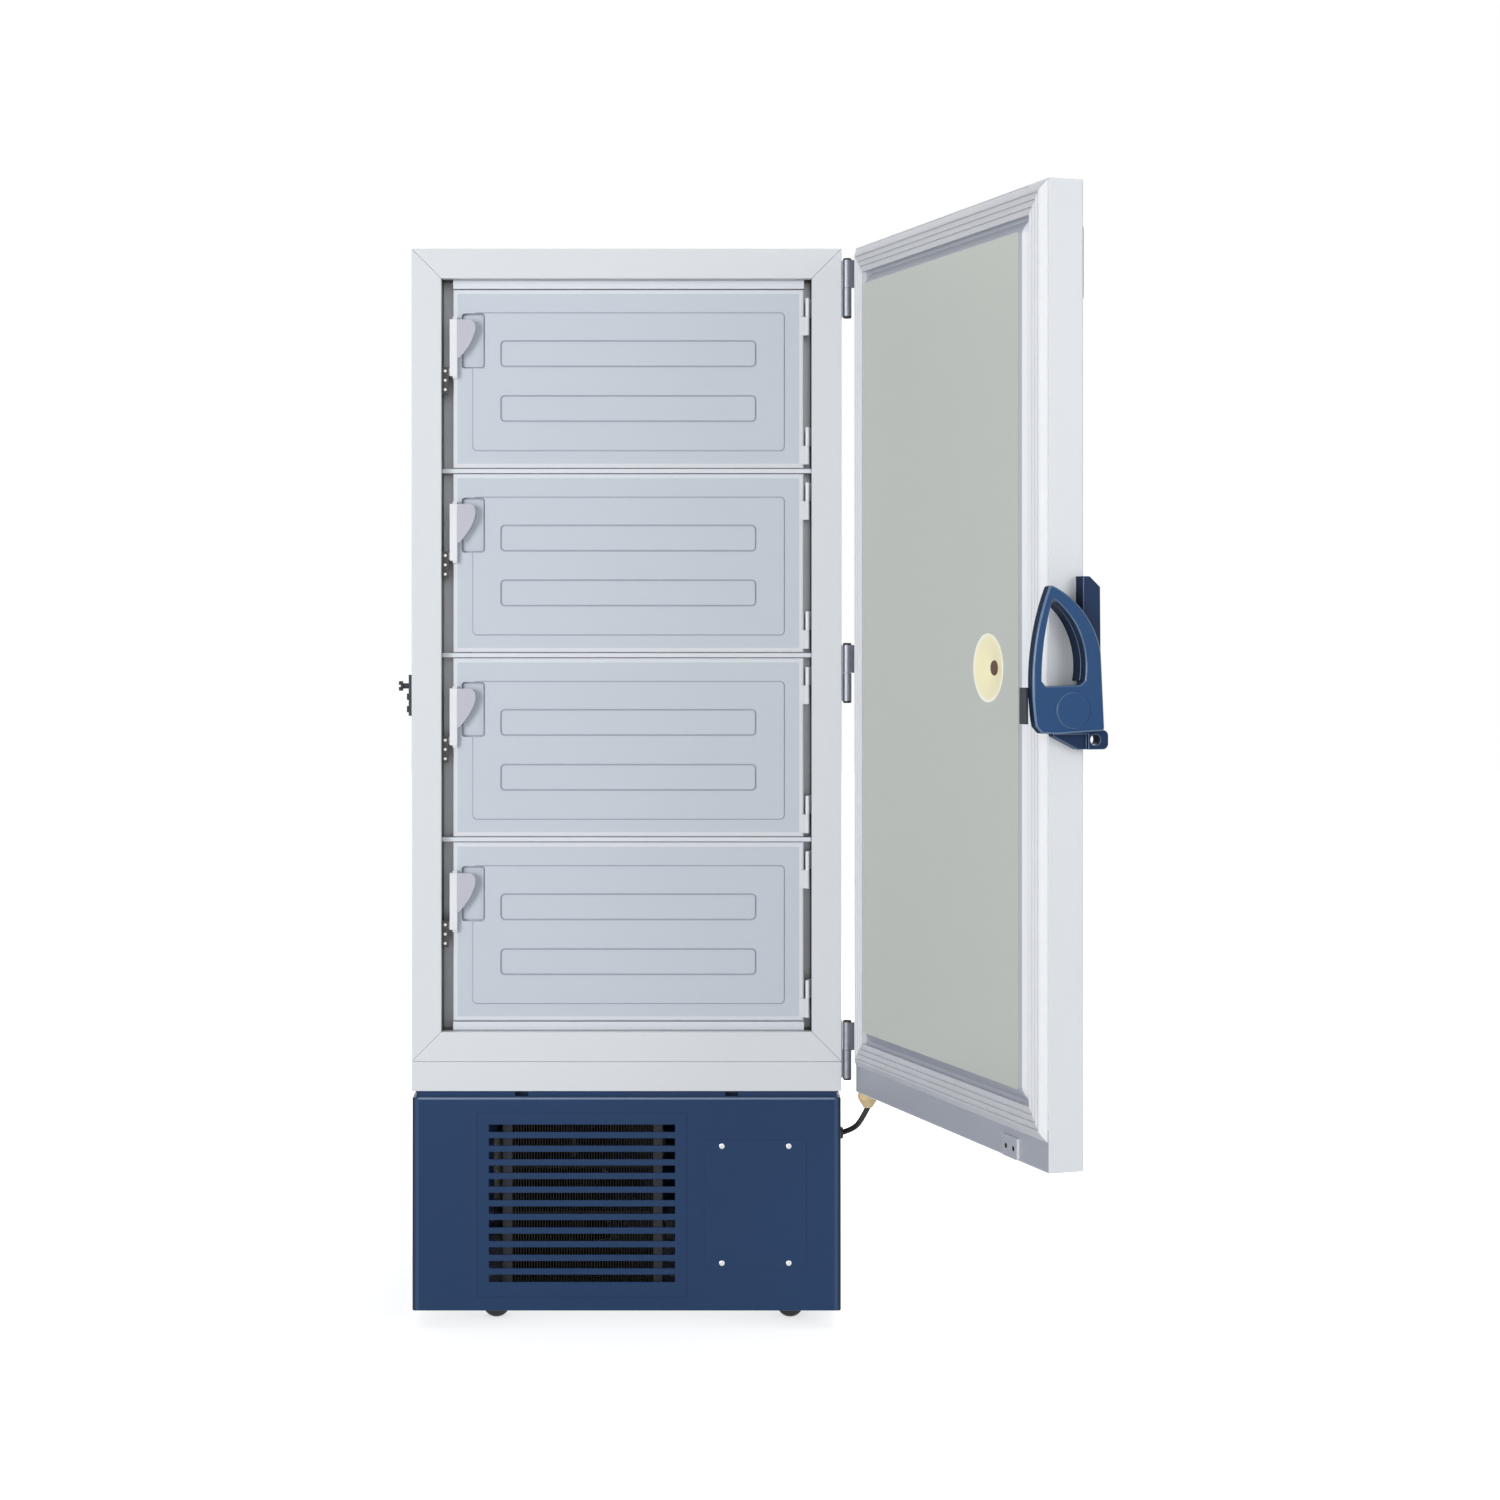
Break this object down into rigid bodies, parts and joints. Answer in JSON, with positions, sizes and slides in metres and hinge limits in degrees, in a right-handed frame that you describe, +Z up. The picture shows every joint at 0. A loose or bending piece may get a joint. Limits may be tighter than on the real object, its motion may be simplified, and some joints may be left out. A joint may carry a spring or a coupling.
{
  "type": "ultra low temperature freezer",
  "caption": "Upright ultra low temperature freezer on casters: outer door standing open with a pull handle, insulated inner doors with latches, blue machine base with a slotted grille.",
  "frame": {"origin": "on the floor, under the middle of the bounding box in the rest pose with the outer door open, the door cable left out", "axes": "+Z up; -Y is the front, where the doors open; +X is the hinge side of the outer door"},
  "size_m": [1.1712, 1.5806, 1.972],
  "materials": {
    "white_enamel": "satin enamel",
    "white_frame": "satin",
    "blue_enamel": "fine texture enamel",
    "liner_steel": "satin enamel",
    "foam": "rigid foam",
    "shelf_steel": "brushed",
    "inner_door_plastic": "satin",
    "soft_seal": "matte",
    "gasket_rubber": "matte",
    "grey_sheet": "satin",
    "door_liner_plastic": "satin",
    "bright_steel": "polished",
    "zinc_steel": "zinc plated",
    "dark_steel": "satin black-blue",
    "white_plastic": "satin",
    "cream_plastic": "matte",
    "handle_blue": "fine texture",
    "dark_grey_plastic": "matte",
    "black_plastic": "matte",
    "black_rubber": "matte",
    "fin_aluminium": "mill",
    "compressor_black": "gloss",
    "display_black": "gloss",
    "key_grey": "matte",
    "wheel_grey": "satin"
  },
  "bodies": {
    "cabinet": {"front_frame": "white_frame", "outer_casing": "white_enamel", "inner_liner": "liner_steel", "insulation_foam": "foam", "shelves": "shelf_steel", "inner_door_seals": "soft_seal", "inner_hinge_brackets": "white_plastic", "latch_keepers": "bright_steel", "cabinet_hinge_leaves": "zinc_steel", "striker": "dark_steel", "rear_spacers": "black_plastic", "base_joint_strip": "blue_enamel", "front_fascia": "blue_enamel", "intake_grille": "blue_enamel", "access_cover": "blue_enamel", "cover_screws": "bright_steel", "base_covers": "blue_enamel", "condenser": "fin_aluminium", "fan_shroud": "zinc_steel", "fan_motor": "compressor_black", "compressors": "compressor_black", "control_box": "dark_grey_plastic", "base_frame": "zinc_steel", "cable_entries": "black_plastic", "door_cable": "black_rubber"},
    "outer_door": {"door_skin": "white_enamel", "door_insulation": "foam", "door_liner": "door_liner_plastic", "door_field": "grey_sheet", "door_gasket": "gasket_rubber", "door_hinge_leaves": "zinc_steel", "relief_port": "cream_plastic", "sensor_plate": "white_plastic", "control_bezel": "dark_grey_plastic", "display_window": "display_black", "handle_bracket": "handle_blue", "cable_gland": "cream_plastic"},
    "handle": {"handle_lever": "handle_blue", "latch_hook": "dark_grey_plastic"},
    "fan": {"fan_rotor": "black_plastic"},
    "inner_door_1": {"inner_door_1": "inner_door_plastic"},
    "inner_latch_1": {"inner_latch_1": "white_plastic"},
    "caster_1": {"caster_fork_1": "zinc_steel"},
    "wheel_1": {"caster_wheel_1": "wheel_grey"},
    "button_1": {"panel_button_1": "key_grey"},
    "inner_door_2": {"inner_door_2": "inner_door_plastic"},
    "inner_latch_2": {"inner_latch_2": "white_plastic"},
    "caster_2": {"caster_fork_2": "zinc_steel"},
    "wheel_2": {"caster_wheel_2": "wheel_grey"},
    "button_2": {"panel_button_2": "key_grey"},
    "inner_door_3": {"inner_door_3": "inner_door_plastic"},
    "inner_latch_3": {"inner_latch_3": "white_plastic"},
    "caster_3": {"caster_fork_3": "zinc_steel"},
    "wheel_3": {"caster_wheel_3": "wheel_grey"},
    "button_3": {"panel_button_3": "key_grey"},
    "inner_door_4": {"inner_door_4": "inner_door_plastic"},
    "inner_latch_4": {"inner_latch_4": "white_plastic"},
    "caster_4": {"caster_fork_4": "zinc_steel"},
    "wheel_4": {"caster_wheel_4": "wheel_grey"},
    "button_4": {"panel_button_4": "key_grey"}
  },
  "joints": [
    {"name": "outer_door_hinge", "type": "hinge", "parent": "cabinet", "child": "outer_door", "pos_m": [0.23489, 0.01829, 1.19755], "axis": [0, 0, 1], "range_deg": [-108, 12], "deforming": ["door_cable"]},
    {"name": "handle_pivot", "type": "hinge", "parent": "outer_door", "child": "handle", "pos_m": [0.51919, -0.75311, 1.15], "axis": [-0.309, 0.9511, 0], "range_deg": [0, 50]},
    {"name": "fan_spin", "type": "hinge", "parent": "cabinet", "child": "fan", "pos_m": [-0.2496, 0.13829, 0.2415], "axis": [0, 1, 0], "continuous": true},
    {"name": "inner_door_1_hinge", "type": "hinge", "parent": "cabinet", "child": "inner_door_1", "pos_m": [0.1629, 0.03329, 1.73656], "axis": [0, 0, 1], "range_deg": [0, 105]},
    {"name": "inner_latch_1_pivot", "type": "hinge", "parent": "inner_door_1", "child": "inner_latch_1", "pos_m": [-0.48211, 0.03129, 1.79275], "axis": [0, 0, -1], "range_deg": [0, 38]},
    {"name": "inner_door_2_hinge", "type": "hinge", "parent": "cabinet", "child": "inner_door_2", "pos_m": [0.1629, 0.03329, 1.39869], "axis": [0, 0, 1], "range_deg": [0, 105]},
    {"name": "inner_latch_2_pivot", "type": "hinge", "parent": "inner_door_2", "child": "inner_latch_2", "pos_m": [-0.48211, 0.03129, 1.45487], "axis": [0, 0, -1], "range_deg": [0, 38]},
    {"name": "inner_door_3_hinge", "type": "hinge", "parent": "cabinet", "child": "inner_door_3", "pos_m": [0.1629, 0.03329, 1.06081], "axis": [0, 0, 1], "range_deg": [0, 105]},
    {"name": "inner_latch_3_pivot", "type": "hinge", "parent": "inner_door_3", "child": "inner_latch_3", "pos_m": [-0.48211, 0.03129, 1.117], "axis": [0, 0, -1], "range_deg": [0, 38]},
    {"name": "inner_door_4_hinge", "type": "hinge", "parent": "cabinet", "child": "inner_door_4", "pos_m": [0.1629, 0.03329, 0.72294], "axis": [0, 0, 1], "range_deg": [0, 105]},
    {"name": "inner_latch_4_pivot", "type": "hinge", "parent": "inner_door_4", "child": "inner_latch_4", "pos_m": [-0.48211, 0.03129, 0.77912], "axis": [0, 0, -1], "range_deg": [0, 38]},
    {"name": "caster_1_swivel", "type": "hinge", "parent": "cabinet", "child": "caster_1", "pos_m": [-0.44111, 0.11229, 0.0667], "axis": [0, 0, 1], "continuous": true},
    {"name": "caster_1_roll", "type": "hinge", "parent": "caster_1", "child": "wheel_1", "pos_m": [-0.4111, 0.11229, 0.025], "axis": [0, 1, 0], "continuous": true},
    {"name": "caster_2_swivel", "type": "hinge", "parent": "cabinet", "child": "caster_2", "pos_m": [0.1049, 0.11229, 0.0667], "axis": [0, 0, 1], "continuous": true},
    {"name": "caster_2_roll", "type": "hinge", "parent": "caster_2", "child": "wheel_2", "pos_m": [0.13489, 0.11229, 0.025], "axis": [0, 1, 0], "continuous": true},
    {"name": "caster_3_swivel", "type": "hinge", "parent": "cabinet", "child": "caster_3", "pos_m": [-0.44111, 0.66829, 0.0667], "axis": [0, 0, 1], "continuous": true},
    {"name": "caster_3_roll", "type": "hinge", "parent": "caster_3", "child": "wheel_3", "pos_m": [-0.4111, 0.66829, 0.025], "axis": [0, 1, 0], "continuous": true},
    {"name": "caster_4_swivel", "type": "hinge", "parent": "cabinet", "child": "caster_4", "pos_m": [0.1049, 0.66829, 0.0667], "axis": [0, 0, 1], "continuous": true},
    {"name": "caster_4_roll", "type": "hinge", "parent": "caster_4", "child": "wheel_4", "pos_m": [0.13489, 0.66829, 0.025], "axis": [0, 1, 0], "continuous": true},
    {"name": "button_1_press", "type": "slide", "parent": "outer_door", "child": "button_1", "axis": [-0.9511, -0.309, 0], "range_m": [0, 0.0015], "stiffness_N_per_m": 400},
    {"name": "button_2_press", "type": "slide", "parent": "outer_door", "child": "button_2", "axis": [-0.9511, -0.309, 0], "range_m": [0, 0.0015], "stiffness_N_per_m": 400},
    {"name": "button_3_press", "type": "slide", "parent": "outer_door", "child": "button_3", "axis": [-0.9511, -0.309, 0], "range_m": [0, 0.0015], "stiffness_N_per_m": 400},
    {"name": "button_4_press", "type": "slide", "parent": "outer_door", "child": "button_4", "axis": [-0.9511, -0.309, 0], "range_m": [0, 0.0015], "stiffness_N_per_m": 400}
  ]
}
